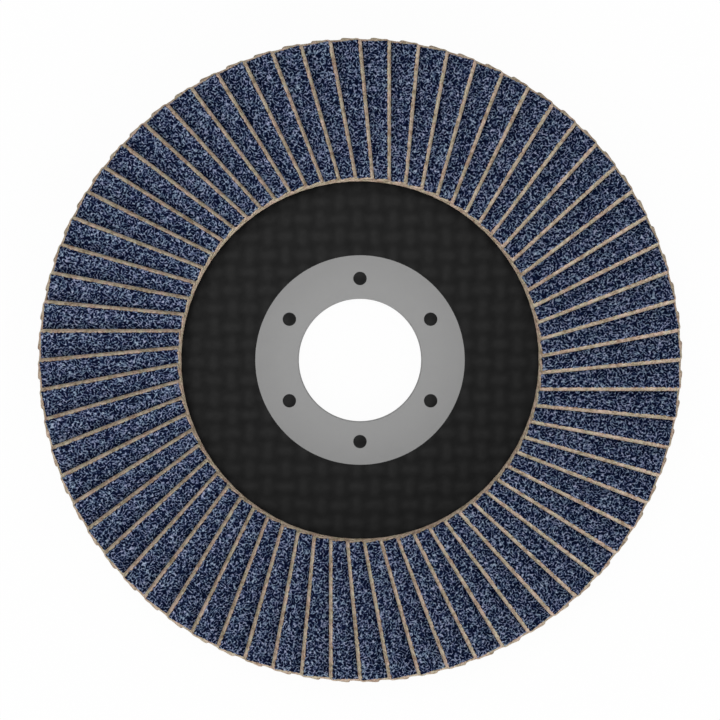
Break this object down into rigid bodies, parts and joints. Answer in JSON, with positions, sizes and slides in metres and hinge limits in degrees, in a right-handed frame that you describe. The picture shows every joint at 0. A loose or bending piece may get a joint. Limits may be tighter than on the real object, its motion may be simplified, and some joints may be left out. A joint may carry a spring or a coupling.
{
  "type": "flap disc",
  "caption": "Round grinding disc: overlapping abrasive flaps glued in a ring on a dished backing plate with a steel-lined bore.",
  "frame": {"origin": "on the disc's axis, in the plane of the hub's back face, which seats on the grinder's flange", "axes": "+Z along the disc's axis, from the hub's back face towards the abrasive side; X and Y lie in the disc's plane, with two of the ring's six holes on Y"},
  "size_m": [0.1166, 0.1166, 0.0127],
  "materials": {
    "hub_steel": "matt zinc-grey pressed steel",
    "backing_laminate": "black moulded resin over a woven glass mesh",
    "adhesive": "cured dark adhesive",
    "abrasive_cloth": "blue-grey abrasive grain on tan cloth"
  },
  "bodies": {
    "root": {"hub_ring": "hub_steel", "backing_plate": "backing_laminate", "adhesive_bed": "adhesive", "flaps_01_02": "abrasive_cloth", "flaps_03_04": "abrasive_cloth", "flaps_05_06": "abrasive_cloth", "flaps_07_08": "abrasive_cloth", "flaps_09_10": "abrasive_cloth", "flaps_11_12": "abrasive_cloth", "flaps_13_14": "abrasive_cloth", "flaps_15_16": "abrasive_cloth", "flaps_17_18": "abrasive_cloth", "flaps_19_20": "abrasive_cloth", "flaps_21_22": "abrasive_cloth", "flaps_23_24": "abrasive_cloth", "flaps_25_26": "abrasive_cloth", "flaps_27_28": "abrasive_cloth", "flaps_29_30": "abrasive_cloth", "flaps_31_32": "abrasive_cloth", "flaps_33_34": "abrasive_cloth", "flaps_35_36": "abrasive_cloth", "flaps_37_38": "abrasive_cloth", "flaps_39_40": "abrasive_cloth", "flaps_41_42": "abrasive_cloth", "flaps_43_44": "abrasive_cloth", "flaps_45_46": "abrasive_cloth", "flaps_47_48": "abrasive_cloth", "flaps_49_50": "abrasive_cloth", "flaps_51_52": "abrasive_cloth", "flaps_53_54": "abrasive_cloth", "flaps_55_56": "abrasive_cloth", "flaps_57_58": "abrasive_cloth", "flaps_59_60": "abrasive_cloth", "flaps_61_62": "abrasive_cloth", "flaps_63_64": "abrasive_cloth", "flaps_65_66": "abrasive_cloth", "flaps_67_68": "abrasive_cloth"}
  },
  "joints": []
}
